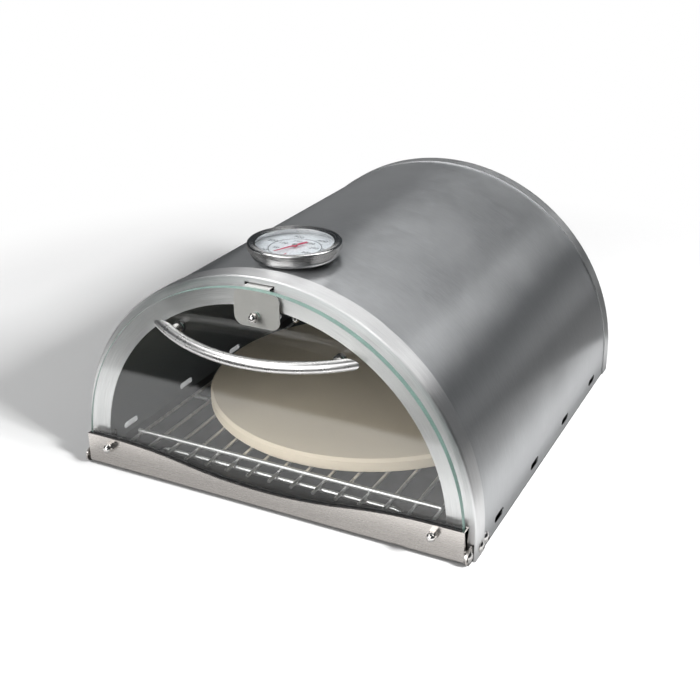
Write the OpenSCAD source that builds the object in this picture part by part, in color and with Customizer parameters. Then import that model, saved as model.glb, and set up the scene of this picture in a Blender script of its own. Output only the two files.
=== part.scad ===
// Countertop pizza oven: a stainless vault with a drop-down glass door, a wire rack, a baking stone
// and a dial thermometer. The origin is the centre of the footprint on the counter, the door faces -Y.

/* [Body] */
// Width over the front frame
body_w = 360; // [340:2:400]
// Depth from the face of the front frame to the back wall
body_d = 376; // [370:2:430]
// Height of the straight side walls, below the vault
leg_h = 20; // [18:1:40]
// Thickness of the stainless sheet
sheet_t = 1; // [0.6:0.1:1.2]
// Gap where one sheet laps over another
lap_gap = 0.1; // [0.05:0.05:0.2]
// Width of the flat ring round the door opening
ring_w = 23; // [20:0.5:28]
// How far the front frame laps back over the shell
front_collar = 18; // [16:0.5:19]
// How far the back cap laps forward over the shell
rear_collar = 15; // [8:1:30]
// Outer radius of the folded edges of both caps
fold_r = 1.5; // [1.5:0.5:3]
// Height of the sill under the door opening
sill_h = 11; // [6:1:12]
// Width of the flanges folded in under the side walls and the back
flange_w = 14; // [8:1:24]
// Width of the flange folded in under the sill
sill_flange_w = 9; // [6:0.5:12]

/* [Vents] */
// Number of vent slots in each side wall
vent_count = 4; // [1:1:5]
// Distance from the front and the back of the body to the middle of the nearest vent slots
vent_in = 54.8; // [50:0.2:80]
// Length of a vent slot
vent_l = 20; // [12:1:30]
// Height of a vent slot
vent_h = 6; // [4:0.5:7]
// Height of the middle of the vent slots
vent_z = 10.4; // [10:0.2:12]

/* [Rack and stone] */
// Height of the top of the rack above the counter
rack_z = 24; // [21:0.5:34]
// Diameter of the long rack wires
wire_d = 3; // [2:0.5:4]
// Diameter of the cross bars and the feet of the rack
bar_d = 4; // [3:0.5:5]
// Number of long wires
wire_count = 15; // [9:1:17]
// Distance from one long wire to the next
wire_pitch = 20.3; // [14:0.1:21]
// How far the front ends of the wires stand behind the face of the frame
rack_setback = 3; // [2:0.5:5]
// Gap between the rack and the back wall
rack_end = 9; // [6:1:14]
// How far the first bar under the wires stands behind their ends
bar_in = 12; // [8:1:24]
// How far the raised stop bar stands behind the ends of the wires
stop_in = 20; // [18:1:34]
// How far the second bar under the wires stands behind their ends
bar_second = 107; // [60:1:150]
// Distance between the left and right feet
foot_span = 228; // [160:2:250]
// Bend radius of the feet, on the middle of the wire
foot_bend = 7; // [5:0.5:9]
// How deep the welds sink one wire into the next
weld_sink = 0.3; // [0.1:0.1:0.5]
// Gap between the baking stone and the stop bars
stone_gap = 9.5; // [4:0.5:20]
// Thickness of the baking stone
stone_t = 12; // [8:0.5:16]
// Bevel of the stone's rim
stone_bevel = 2.5; // [1:0.5:3.5]
// How far the loose stone stands to the right of the middle of the rack
stone_side = 5; // [-6:0.5:6]

/* [Door] */
// Thickness of the glass
glass_t = 5; // [4:0.5:6]
// How far the glass stops short of the outside of the frame
glass_inset = 7.5; // [7:0.5:12]
// Height of the bottom edge of the glass
glass_z = 14.5; // [14.5:0.5:16]
// Gap between the back of the rail and the frame
door_gap = 1.5; // [1.5:0.1:3]
// Thickness of the gasket between glass and rail
gasket_t = 1; // [0.8:0.1:1.5]
// How far the gasket shows above the edge of the rail
gasket_lip = 0.8; // [0.4:0.2:1.6]
// Height of the bottom of the rail
rail_z = 3; // [2.5:0.5:4]
// Height of the ends of the rail
rail_h = 28; // [26:0.5:32]
// How deep the top edge of the rail dips in the middle
rail_dip = 12.5; // [6:0.5:13]
// Distance from the end of the rail to where the dip starts
dip_in = 23.5; // [18:0.5:50]
// Outer bend radius under the rail
rail_fold = 3; // [3:0.5:3.5]
// Gap between the edge of the glass and the ears of the rail
ear_gap = 1; // [0.6:0.1:1.2]

/* [Hinge] */
// Height of the hinge axis
hinge_z = 8; // [7.8:0.1:8.4]
// Diameter of the hinge pins
pin_d = 5; // [4:0.5:5]
// Running clearance round a hinge pin
pin_clear = 0.05; // [0.02:0.01:0.09]
// Diameter of the head of a hinge pin
pin_head_d = 9; // [7:0.5:10]
// Thickness of the head of a hinge pin
pin_head_t = 2; // [1.5:0.5:2.5]
// How far the peened end of a pin stands out round it
pin_rim = 0.7; // [0.4:0.1:0.8]
// Thickness of the peened end of a pin
pin_rim_t = 1; // [0.6:0.1:1.4]
// Play of a pin along its axis
pin_play = 0.3; // [0.1:0.1:0.5]
// Width of the spacer rings round a pin
spacer_w = 2; // [1.5:0.1:2]
// Thickness of the hinge brackets
bracket_t = 1.5; // [1:0.1:2]
// Radius of the round lug of a bracket
lug_r = 6.7; // [5.5:0.1:6.7]
// How far a bracket reaches behind the face of the frame
bracket_l = 32; // [30:1:44]
// Clearance round the lug where it passes the frame
lug_clear = 0.7; // [0.4:0.1:1.2]
// Distance from the face of the frame to the first bracket screw
screw_first = 11; // [10.5:0.5:11]
// Distance between the two screws of a bracket
screw_pitch = 13; // [13:0.5:15]
// Thread diameter of the bracket screws and the rail bolts
m5_d = 5; // [4:0.5:5]
// Clearance round a screw in its hole
hole_clear = 0.25; // [0.1:0.05:0.4]
// Diameter of the button heads
button_d = 9.5; // [8:0.5:9.5]
// Height of the button heads
button_h = 2.8; // [2:0.2:3.2]
// Width across the flats of the M5 nuts
nut_af = 8; // [7:0.5:8]
// Height of the plain nuts
nut_h = 4; // [3:0.5:5]
// Height of the cap nuts of the rail, dome included
cap_h = 9.5; // [8:0.5:11]
// Distance from the side of the door opening in to the rail bolts
bolt_in = 7; // [6:0.5:12]
// Height of the rail bolts
bolt_z = 24; // [22:0.5:25]

/* [Handle] */
// Diameter of the handle bar
grip_d = 9.5; // [8:0.5:12]
// Length of the handle from tip to tip
grip_l = 179; // [165:1:200]
// How far the handle stands out from the glass
grip_reach = 31; // [28:0.5:42]
// Distance from the glass to the cut ends of the bar
grip_cut = 5.5; // [4.5:0.5:6.5]
// How far the bow hangs down
grip_droop = 15; // [0:1:20]
// Distance from the top of the glass down to the handle posts
grip_drop = 43; // [38:0.5:52]
// Distance from the tips of the handle in to its posts
post_in = 18.5; // [16:0.5:30]
// Diameter of the handle posts
post_d = 8; // [7:0.5:8]
// Diameter of the handle and catch screws
m4_d = 4; // [3:0.5:4]
// Diameter of the soft washers
washer_d = 9.5; // [9:0.5:11]
// Thickness of the soft washers
washer_t = 0.8; // [0.5:0.1:1]
// Clearance round a screw in the glass
glass_hole_clear = 1; // [0.5:0.1:1.5]
// Depth of the tapped holes in the handle bar
tap_depth = 3; // [2:0.5:4]

/* [Catch] */
// Width of the catch plate
catch_w = 40; // [32:1:48]
// Distance from the top of the glass down to the bottom edge of the catch plate
catch_drop = 31; // [28:1:36]
// Corner radius of the catch plate
catch_r = 8; // [4:1:10]
// Width of the sprung tongue
tongue_w = 22; // [14:1:28]
// How far the tongue reaches through the frame
tongue_reach = 9; // [5:0.5:14]
// Height of the small ridge that holds the tongue in the slot
tongue_ridge = 0.6; // [0.3:0.1:0.8]
// Room between the sheet of the frame and the ridge
ridge_play = 1.9; // [1:0.1:3]
// Room at each side of the tongue in its slot
slot_side = 2; // [1:0.5:3]
// Room under the tongue in its slot
slot_under = 1; // [0.8:0.1:1.2]
// Room over the tongue in its slot
slot_over = 1.6; // [1.4:0.1:1.8]
// Distance from the top of the glass down to the catch screw
catch_screw_drop = 21; // [18:0.5:22]
// Width across the flats of the cap nut of the catch
catch_nut_af = 7; // [6:0.5:8]
// Height of the cap nut of the catch, dome included
catch_nut_h = 6.5; // [6:0.5:8]

/* [Thermometer] */
// Distance from the face of the frame to the middle of the dial
dial_y = 55; // [52:1:90]
// Outer diameter of the bezel
bezel_d = 75; // [73:1:76]
// Height of the bezel
bezel_h = 5; // [4.5:0.5:7]
// Radius of the rounded rim of the bezel
bezel_round = 1.5; // [0.8:0.1:2]
// Thickness of the inner edge of the bezel over the lens
bezel_edge = 0.3; // [0.2:0.1:0.6]
// How far the bezel rises above the lens
bezel_lip = 1.5; // [1:0.1:2]
// Visible diameter of the dial
dial_d = 62; // [50:1:63]
// Diameter of the cup under the bezel
cup_d = 70; // [68:0.5:71]
// Height of the cup
cup_h = 9.5; // [9.5:0.5:11]
// Outer radius of the lower edge of the cup
cup_round = 4; // [2:0.5:4.5]
// Thickness of the cup and bezel metal
cup_t = 1; // [0.6:0.1:1.2]
// Height of the boss between the cup and the shell
boss_h = 1; // [0.8:0.1:2]
// Diameter of the boss
boss_d = 15; // [13:0.5:18]
// Diameter of the threaded neck
neck_d = 8; // [7:0.5:9]
// Length of the threaded neck
neck_l = 14; // [12:0.5:18]
// Diameter of the probe
probe_d = 6; // [5:0.5:6]
// Length of the probe below the neck
probe_l = 42; // [30:1:44]
// How far the probe is pressed up into the neck
probe_seat = 3; // [2:0.5:5]
// Wall of the probe
probe_wall = 0.8; // [0.6:0.1:1]
// Length of the coil inside the probe
coil_l = 34; // [24:1:36]
// Gap round the coil
coil_gap = 0.4; // [0.2:0.1:0.6]
// Thickness of the lens
lens_t = 1.5; // [1:0.1:2]
// Gap between the dial and the lens
dial_air = 4.4; // [3.4:0.1:4.6]
// Thickness of the dial plate
dial_t = 0.6; // [0.4:0.1:1]
// Diameter of the needle's hub
hub_d = 4.4; // [3:0.2:6]
// How far the hub stands above and below the needle
hub_rim = 0.3; // [0.2:0.1:0.4]
// Length of the needle from its axis to its tip
needle_l = 20; // [16:0.5:26]
// Length of the tail of the needle
needle_tail = 12; // [8:0.5:14]
// Width of the needle at the hub
needle_w = 2; // [1.2:0.2:2.4]
// Width of the needle at its tip
needle_tip = 0.4; // [0.2:0.1:0.8]
// Thickness of the needle
needle_t = 0.5; // [0.3:0.1:0.6]
// Direction of the needle at rest, from +X
needle_rest = -115; // [-120:1:-100]
// Diameter of the spindle
spindle_d = 1.6; // [1.4:0.2:2]
// Width across the flats of the thermometer nut
dial_nut_af = 14; // [13:0.5:16]
// Height of the thermometer nut
dial_nut_h = 4; // [3:0.5:5]
// Width of the washer above the thermometer nut
nut_washer_w = 5; // [4:0.5:7]
// Thickness of the washer above the thermometer nut
nut_washer_t = 1; // [0.8:0.1:1.5]

/* [Hidden] */
$fn = 96;
big_fn = 240;
cut = 1;

steel = [0.74, 0.75, 0.75];
polished = [0.86, 0.86, 0.86];
rubber = [0.08, 0.08, 0.08];

body_r = body_w / 2;
open_r = body_r - ring_w;
shell_r = body_r - sheet_t - lap_gap;
wall_x = shell_r - sheet_t;
shell_start = fold_r;
vent_pitch = (body_d - 2 * vent_in) / (vent_count - 1);
shell_top = leg_h + shell_r;
back_lap = 4;

// Outside of the sheets under each of the two screws of a bracket: the collar, then the shell
screw_seats = [body_r, shell_r];
// Half the length of the flanges under the sill and the back wall, clear of those of the side walls
sill_flange_x = min(open_r, shell_r - flange_w - sheet_t);

// Shares of a screw's or nut's own size
socket_share = 0.6;
socket_floor = 0.45;
head_rim = 0.25;
nut_dome = 0.47;
nut_skirt = 0.75;
nut_thread = 0.35;
m4_head_d = 2 * m4_d;
m4_head_h = 0.55 * m4_d;

flange_z = sheet_t + lap_gap / 2;
rack_l = body_d - rack_setback - rack_end - sheet_t;

wire_z = rack_z - wire_d / 2;
bar_z = wire_z - wire_d / 2 - bar_d / 2 + weld_sink;
stop_z = wire_z + wire_d / 2 + bar_d / 2 - weld_sink;
rack_x = wire_pitch * (wire_count - 1) / 2;
rack_middle = rack_setback + rack_l / 2;
stone_d = rack_l - 2 * stop_in - bar_d - 2 * stone_gap;

glass_r = body_r - glass_inset;
rail_back = -door_gap;
rail_w = glass_t + 2 * gasket_t + 2 * sheet_t;
rail_front = rail_back - rail_w;
glass_back = rail_back - sheet_t - gasket_t;
glass_front = glass_back - glass_t;
glass_top = leg_h + glass_r;
rail_half = glass_r + ear_gap + sheet_t;
rail_top = rail_z + rail_h;
gasket_z = glass_z - gasket_t;

hinge_y = rail_back - rail_w / 2;
plate_out = wall_x - lap_gap;
plate_in = plate_out - bracket_t;
bolt_x = open_r - bolt_in;

grip_r = grip_d / 2;
bow_sag = grip_reach - grip_cut;
bow_front_r = (pow(grip_l / 2, 2) + pow(bow_sag, 2)) / (2 * bow_sag);
bow_r = bow_front_r - grip_r;
bow_centre = glass_front - grip_reach + bow_front_r;
bow_sweep = 90;
grip_z = leg_h + glass_r - grip_drop;
post_span = grip_l - 2 * post_in;
post_y = bow_centre - sqrt(pow(bow_r, 2) - pow(post_span / 2, 2));

tongue_z = glass_top;
slot_w = tongue_w + 2 * slot_side;
catch_z = glass_top - catch_screw_drop;

cup_bottom = shell_top + boss_h;
cup_top = cup_bottom + cup_h;
lens_bottom = cup_top + lap_gap / 2;
lens_top = lens_bottom + lens_t;
bezel_top = lens_top + bezel_lip;
dial_top = lens_bottom - dial_air;
needle_z = dial_top + dial_air / 2 - needle_t;
neck_bottom = shell_top - neck_l;
probe_bottom = neck_bottom - probe_l;
nut_washer_r = neck_d / 2 + nut_washer_w;
nut_washer_z = leg_h + sqrt(pow(wall_x, 2) - pow(nut_washer_r, 2)) - nut_washer_t - lap_gap;

// ---- Shared shapes ----

// Moves a piece from the face of the front frame to its place on the footprint
module from_front() {
    translate([0, -body_d / 2, 0]) children();
}

// Outline of the vault in the XZ plane: half a disc on a straight base
module arch_outline(r, base = 0) {
    translate([0, leg_h]) intersection() {
        circle(r, $fn = big_fn);
        translate([-r - cut, 0]) square([2 * (r + cut), r + cut]);
    }
    translate([-r, base]) square([2 * r, leg_h - base]);
}

// A plate in the XZ plane, from depth y to depth y + t
module upright_plate(y, t) {
    translate([0, y + t, 0]) rotate([90, 0, 0]) linear_extrude(t) children();
}

// Sweeps a profile drawn as (radius, depth) up one leg, over the vault and down the other leg
module arch_sweep() {
    translate([0, 0, leg_h]) mirror([0, 1, 0]) rotate([90, 0, 0])
        rotate_extrude(angle = 180, $fn = big_fn) children();
    linear_extrude(leg_h) children();
    mirror([1, 0, 0]) linear_extrude(leg_h) children();
}

// Profile of a sheet that turns from a flat face into a collar, as (radius, depth)
module folded_profile(r, face, collar) {
    translate([r - face, 0]) square([face - fold_r, sheet_t]);
    translate([r - sheet_t, fold_r]) square([sheet_t, collar - fold_r]);
    translate([r - fold_r, fold_r]) intersection() {
        difference() {
            circle(fold_r);
            circle(fold_r - sheet_t);
        }
        translate([0, -fold_r - cut]) square([fold_r + cut, fold_r + cut]);
    }
}

// A rectangle with its lower left corner at the origin and four round corners
module soft_rect(w, h, r) {
    translate([r, 0]) square([w - 2 * r, h]);
    translate([0, r]) square([w, h - 2 * r]);
    for (x = [0, 1], y = [0, 1])
        translate([x ? w - r : r, y ? h - r : r]) mirror([1 - x, 0]) mirror([0, 1 - y])
            intersection() {
                circle(r);
                square(r + cut);
            }
}

// A rod along X
module rod_x(x, l, r) {
    translate([x, 0, 0]) rotate([0, 90, 0]) cylinder(h = l, r = r);
}

// A rod along Y
module rod_y(y, l, r) {
    translate([0, y + l, 0]) rotate([90, 0, 0]) cylinder(h = l, r = r);
}

// A hexagonal prism along Z
module hex(af, h) {
    cylinder(h = h, r = af / 2 / cos(30), $fn = 6);
}

// A plain hexagonal nut along Z, standing on z = 0
module plain_nut(af, h, bore_r) {
    bevel = af / 2 / cos(30) - af / 2;
    face_r = af / 2 + bevel / 4;
    difference() {
        intersection() {
            hex(af, h);
            rotate_extrude() polygon([[0, 0], [face_r, 0], [face_r + bevel, bevel],
                [face_r + bevel, h - bevel], [face_r, h], [0, h]]);
        }
        translate([0, 0, -cut]) cylinder(h = h + 2 * cut, r = bore_r);
    }
}

// A cap nut along Z, standing on z = 0, with a blind thread under its dome
module cap_nut(af, h, bore_r) {
    dome_r = af * nut_dome;
    base_h = h - dome_r;
    difference() {
        union() {
            hex(af, base_h * nut_skirt);
            cylinder(h = base_h, r = dome_r);
            translate([0, 0, base_h]) intersection() {
                sphere(dome_r);
                translate([-af, -af, 0]) cube([2 * af, 2 * af, af]);
            }
        }
        translate([0, 0, -cut]) cylinder(h = base_h + cut, r = bore_r);
    }
}

// A domed head standing on z = 0
module dome(base_r, rise) {
    sphere_r = (base_r * base_r + rise * rise) / (2 * rise);
    rotate_extrude() intersection() {
        translate([0, rise - sphere_r]) circle(sphere_r);
        square([base_r + cut, rise + cut]);
    }
}

// A button-head screw along -Z: the head stands on z = 0, the shank hangs below
module button_screw(d, l, head_d, head_h) {
    rim = head_h * head_rim;
    difference() {
        union() {
            cylinder(h = rim, r = head_d / 2);
            translate([0, 0, rim]) dome(head_d / 2, head_h - rim);
        }
        translate([0, 0, head_h * socket_floor]) hex(d * socket_share, head_h);
    }
    translate([0, 0, -l]) cylinder(h = l, r = d / 2);
}

// Moves children to both bracket screws of one side wall, on the hinge's height and at a distance
// from the middle plane; their +Z points out of the wall
module at_bracket_screw(side, i, x) {
    translate([side * x, screw_first + i * screw_pitch, hinge_z]) rotate([0, side * 90, 0]) children();
}

// Moves children to both rail bolts; their +Z points out of the door
module at_rail_bolts(y) {
    for (side = [-1, 1]) translate([side * bolt_x, y, bolt_z]) rotate([90, 0, 0]) children();
}

// Moves children to both handle posts; their +Z points out of the door
module at_posts(y) {
    for (side = [-1, 1]) translate([side * post_span / 2, y, grip_z]) rotate([90, 0, 0]) children();
}

// ---- Body ----

// One obround vent, cut along X
module vent(l, h) {
    translate([0, -(l - h) / 2, -h / 2]) cube([2 * body_w, l - h, h]);
    for (end = [-1, 1]) translate([0, end * (l - h) / 2, 0]) rod_x(0, 2 * body_w, h / 2);
}

module outer_shell() {
    flange_start = bracket_l + sheet_t;
    color(steel) from_front() difference() {
        union() {
            upright_plate(shell_start, body_d - 2 * shell_start) difference() {
                arch_outline(shell_r, flange_z);
                arch_outline(wall_x, -cut);
            }
            for (side = [0, 1]) mirror([side, 0, 0])
                translate([shell_r - flange_w, flange_start, flange_z])
                    cube([flange_w - sheet_t / 2, body_d - shell_start - flange_start, sheet_t]);
        }
        for (i = [0 : vent_count - 1])
            translate([-body_w, body_d / 2 + (i - (vent_count - 1) / 2) * vent_pitch, vent_z])
                vent(vent_l, vent_h);
        for (side = [-1, 1]) bracket_holes(side);
        translate([0, dial_y, leg_h]) cylinder(h = body_w, r = neck_d / 2 + hole_clear);
    }
}

// The two holes for the screws of a bracket, through all the sheets of a side wall
module bracket_holes(side) {
    for (i = [0, 1]) at_bracket_screw(side, i, plate_in - cut)
        cylinder(h = body_r - plate_in + 2 * cut, r = m5_d / 2 + hole_clear);
}

module front_frame() {
    color(steel) from_front() difference() {
        union() {
            arch_sweep() folded_profile(body_r, ring_w, front_collar);
            translate([-open_r - sheet_t, 0, 0]) cube([2 * (open_r + sheet_t), sheet_t, sill_h]);
            translate([-sill_flange_x, 0, flange_z]) cube([2 * sill_flange_x, sill_flange_w, sheet_t]);
        }
        for (side = [-1, 1]) {
            bracket_holes(side);
            translate([side > 0 ? plate_in - lug_clear : -plate_out - lug_clear, -cut, -cut])
                cube([bracket_t + 2 * lug_clear, sheet_t + fold_r + cut, hinge_z + lug_r + lug_clear + cut]);
        }
        translate([-slot_w / 2, -cut, tongue_z - slot_under])
            cube([slot_w, sheet_t + 2 * cut, sheet_t + slot_under + slot_over]);
    }
}

module rear_cap() {
    color(steel) from_front() translate([0, body_d, 0]) mirror([0, 1, 0]) {
        arch_sweep() folded_profile(body_r, fold_r + back_lap, rear_collar);
        upright_plate(0, sheet_t) arch_outline(body_r - fold_r - back_lap / 2);
        translate([-sill_flange_x, 0, flange_z]) cube([2 * sill_flange_x, flange_w, sheet_t]);
    }
}

module floor_tray() {
    color([0.16, 0.16, 0.17]) from_front() translate([-shell_r, shell_start, 0])
        cube([2 * shell_r, body_d - 2 * shell_start, sheet_t]);
}

// ---- Rack and stone ----

module wire_rack() {
    color(polished) from_front() translate([0, rack_setback, 0]) {
        for (i = [0 : wire_count - 1])
            translate([i * wire_pitch - rack_x, 0, wire_z]) rod_y(0, rack_l, wire_d / 2);
        for (y = [bar_in, rack_l - bar_in])
            translate([0, y, bar_z]) rod_x(foot_bend - foot_span / 2, foot_span - 2 * foot_bend, bar_d / 2);
        for (y = [bar_second, rack_l - bar_second])
            translate([0, y, bar_z]) rod_x(-rack_x - wire_d / 2, 2 * rack_x + wire_d, bar_d / 2);
        for (y = [stop_in, rack_l - stop_in])
            translate([0, y, stop_z]) rod_x(-rack_x - wire_d / 2, 2 * rack_x + wire_d, bar_d / 2);
    }
}

// One foot: a wire that turns down from the end of a cross bar and stands on the tray
module rack_foot() {
    translate([foot_span / 2 - foot_bend, 0, bar_z - foot_bend]) rotate([90, 0, 0])
        rotate_extrude(angle = 90) translate([foot_bend, 0]) circle(bar_d / 2);
    translate([foot_span / 2, 0, flange_z]) cylinder(h = bar_z - foot_bend - flange_z, r = bar_d / 2);
}

module rack_feet() {
    color(polished) from_front() translate([0, rack_setback, 0])
        for (y = [bar_in, rack_l - bar_in], side = [0, 1])
            translate([0, y, 0]) mirror([side, 0, 0]) rack_foot();
}

module pizza_stone() {
    r = stone_d / 2;
    color([0.80, 0.75, 0.68]) from_front() translate([stone_side, rack_middle, rack_z])
        rotate_extrude($fn = big_fn) polygon([[0, 0], [r - stone_bevel / 2, 0], [r, stone_bevel / 2],
            [r, stone_t - stone_bevel], [r - stone_bevel, stone_t], [0, stone_t]]);
}

// ---- Hinges ----

// Bracket of the right side: a strip inside the wall that ends in a round lug in front of the frame
module hinge_bracket() {
    difference() {
        translate([plate_in, 0, hinge_z]) {
            translate([0, hinge_y, 0]) rod_x(0, bracket_t, lug_r);
            translate([0, hinge_y, -lug_r]) cube([bracket_t, bracket_l - hinge_y, 2 * lug_r]);
        }
        translate([plate_in, hinge_y, hinge_z]) rod_x(-cut, bracket_t + 2 * cut, pin_d / 2 + pin_clear);
        bracket_holes(1);
    }
}

module hinge_bracket_right() {
    color(steel) from_front() hinge_bracket();
}

module hinge_bracket_left() {
    color(steel) from_front() mirror([1, 0, 0]) hinge_bracket();
}

module bracket_screws() {
    color(polished) from_front() for (side = [-1, 1], i = [0, 1])
        at_bracket_screw(side, i, screw_seats[i] + lap_gap / 2)
            button_screw(m5_d, screw_seats[i] - plate_in + nut_h + sheet_t, button_d, button_h);
}

module bracket_nuts() {
    color(polished) from_front() for (side = [-1, 1], i = [0, 1])
        at_bracket_screw(side, i, plate_in - lap_gap / 2 - nut_h)
            plain_nut(nut_af, nut_h, m5_d / 2 + lap_gap / 2);
}

// Pin of the right side: a domed head outside the lug, a peened end inside the ear of the rail
module hinge_pin() {
    end_x = rail_half - sheet_t - pin_play;
    shank = plate_out - end_x;
    color(polished) from_front() translate([0, hinge_y, hinge_z]) {
        rod_x(end_x, shank + lap_gap, pin_d / 2);
        rod_x(end_x - pin_rim_t, pin_rim_t, pin_d / 2 + pin_rim);
        translate([plate_out + lap_gap, 0, 0]) rotate([0, 90, 0]) dome(pin_head_d / 2, pin_head_t);
    }
}

module hinge_pin_right() {
    hinge_pin();
}

module hinge_pin_left() {
    mirror([1, 0, 0]) hinge_pin();
}

module hinge_spacers() {
    color(polished) from_front() for (side = [0, 1]) mirror([side, 0, 0])
        translate([rail_half + lap_gap, hinge_y, hinge_z]) difference() {
            rod_x(0, plate_in - rail_half - 2 * lap_gap, pin_d / 2 + spacer_w);
            rod_x(-cut, plate_in - rail_half + 2 * cut, pin_d / 2 + pin_clear);
        }
}

// ---- Thermometer ----

// Moves a piece to the axis of the dial
module at_dial() {
    from_front() translate([0, dial_y, 0]) children();
}

// A solid cup on z = 0 with a round lower edge
module round_cup(r, h, edge_r) {
    rotate_extrude() {
        square([r - edge_r, h]);
        translate([0, edge_r]) square([r, h - edge_r]);
        translate([r - edge_r, edge_r]) mirror([0, 1]) intersection() {
            circle(edge_r);
            square(edge_r + cut);
        }
    }
}

module thermometer_case() {
    bore_r = probe_d / 2 - probe_wall;
    color(polished) at_dial() difference() {
        union() {
            translate([0, 0, cup_bottom]) round_cup(cup_d / 2, cup_h, cup_round);
            translate([0, 0, shell_top + lap_gap]) cylinder(h = boss_h - lap_gap, r = boss_d / 2);
            translate([0, 0, neck_bottom]) cylinder(h = neck_l + boss_h, r = neck_d / 2);
        }
        translate([0, 0, cup_bottom + cup_t]) round_cup(cup_d / 2 - cup_t, cup_h, cup_round - cup_t);
        translate([0, 0, neck_bottom - cut]) cylinder(h = neck_l + boss_h + cup_h, r = bore_r);
        translate([0, 0, neck_bottom - cut]) cylinder(h = probe_seat + cut, r = probe_d / 2 + lap_gap / 2);
    }
}

module thermometer_bezel() {
    outer = bezel_d / 2;
    seat = lens_top - bezel_top + bezel_h + lap_gap / 2;
    color(polished) at_dial() translate([0, 0, bezel_top - bezel_h]) rotate_extrude() difference() {
        union() {
            translate([dial_d / 2, 0]) square([outer - bezel_round - dial_d / 2, bezel_h]);
            translate([outer - bezel_round, 0]) square([bezel_round, bezel_h - bezel_round]);
            translate([outer - bezel_round, bezel_h - bezel_round]) intersection() {
                circle(bezel_round);
                square(bezel_round + cut);
            }
        }
        translate([0, -cut]) square([cup_d / 2 + lap_gap / 2, seat + cut]);
        polygon([[0, seat - cut], [dial_d / 2, seat - cut], [dial_d / 2, seat + bezel_edge],
            [outer - bezel_round, bezel_h], [outer - bezel_round, bezel_h + cut], [0, bezel_h + cut]]);
    }
}

module dial_plate() {
    color("white") at_dial() translate([0, 0, dial_top - dial_t]) difference() {
        cylinder(h = dial_t, r = cup_d / 2 - cup_t - lap_gap);
        translate([0, 0, -cut]) cylinder(h = dial_t + 2 * cut, r = spindle_d / 2 + pin_clear);
    }
}

module dial_lens() {
    color([0.85, 0.92, 0.92, 0.4]) at_dial() translate([0, 0, lens_bottom])
        cylinder(h = lens_t, r = cup_d / 2 - lap_gap);
}

module dial_needle() {
    color([0.80, 0.08, 0.14]) at_dial() translate([0, 0, needle_z]) rotate([0, 0, needle_rest])
        difference() {
            union() {
                linear_extrude(needle_t) polygon([[-needle_tail, -needle_w / 2], [0, -needle_w / 2],
                    [needle_l, -needle_tip / 2], [needle_l, needle_tip / 2], [0, needle_w / 2],
                    [-needle_tail, needle_w / 2]]);
                translate([0, 0, -hub_rim]) cylinder(h = needle_t + 2 * hub_rim, r = hub_d / 2);
            }
            translate([0, 0, -cut]) cylinder(h = needle_t + 2 * cut, r = spindle_d / 2);
        }
}

module needle_spindle() {
    color(steel) at_dial() translate([0, 0, neck_bottom])
        cylinder(h = needle_z + needle_t - neck_bottom, r = spindle_d / 2);
}

module bimetal_coil() {
    color([0.72, 0.60, 0.40]) at_dial() difference() {
        translate([0, 0, neck_bottom - coil_l])
            cylinder(h = coil_l - coil_gap, r = probe_d / 2 - probe_wall - coil_gap);
        translate([0, 0, neck_bottom - probe_l])
            cylinder(h = probe_l + cut, r = spindle_d / 2);
    }
}

module thermometer_probe() {
    tip = probe_d / 2;
    color(polished) at_dial() difference() {
        union() {
            translate([0, 0, probe_bottom + tip]) cylinder(h = probe_l - tip + probe_seat, r = probe_d / 2);
            translate([0, 0, probe_bottom + tip]) intersection() {
                sphere(tip);
                translate([-probe_d, -probe_d, -probe_d]) cube([2 * probe_d, 2 * probe_d, probe_d]);
            }
        }
        translate([0, 0, probe_bottom + tip]) cylinder(h = probe_l + 2 * cut, r = probe_d / 2 - probe_wall);
    }
}

module thermometer_washer() {
    color(polished) at_dial() translate([0, 0, nut_washer_z]) difference() {
        cylinder(h = nut_washer_t, r = nut_washer_r);
        translate([0, 0, -cut]) cylinder(h = nut_washer_t + 2 * cut, r = neck_d / 2 + hole_clear);
    }
}

module thermometer_nut() {
    color(polished) at_dial() translate([0, 0, nut_washer_z - dial_nut_h])
        plain_nut(dial_nut_af, dial_nut_h, neck_d / 2 + lap_gap / 2);
}

// ---- Door ----

module door_glass() {
    color([0.60, 0.78, 0.72, 0.35]) from_front() difference() {
        upright_plate(glass_back - glass_t, glass_t) arch_outline(glass_r, glass_z);
        at_rail_bolts(0) cylinder(h = 2 * rail_w, r = m5_d / 2 + glass_hole_clear);
        at_posts(0) cylinder(h = 2 * rail_w, r = m4_d / 2 + glass_hole_clear);
        translate([0, -2 * rail_w, catch_z]) rod_y(0, 2 * rail_w, m4_d / 2 + glass_hole_clear);
    }
}

// Outline of the rail seen from the front: straight ends and a dip made of tangent arcs
module rail_outline(half, bottom, top) {
    dip_half = rail_half - dip_in;
    quarter = dip_half / 2;
    dip_r = (pow(dip_half, 2) + pow(rail_dip, 2)) / (4 * rail_dip);
    difference() {
        translate([-half, bottom]) square([2 * half, top - bottom]);
        intersection() {
            translate([0, top - rail_dip + dip_r]) circle(dip_r, $fn = big_fn);
            translate([-quarter, top - rail_dip - cut]) square([2 * quarter, rail_dip + 2 * cut]);
        }
        for (side = [0, 1]) mirror([side, 0]) difference() {
            translate([quarter, top - rail_dip - cut]) square([quarter, rail_dip + 2 * cut]);
            translate([dip_half, top - dip_r]) circle(dip_r, $fn = big_fn);
        }
    }
}

// Outline of the rail seen from its end, as (depth, height), with round lower edges
module rail_section(w, h, r) {
    translate([0, r]) square([w, h - r]);
    translate([r, 0]) square([w - 2 * r, r]);
    for (side = [0, 1]) translate([side ? w - r : r, r]) mirror([1 - side, 0]) mirror([0, 1])
        intersection() {
            circle(r);
            square(r + cut);
        }
}

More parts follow.
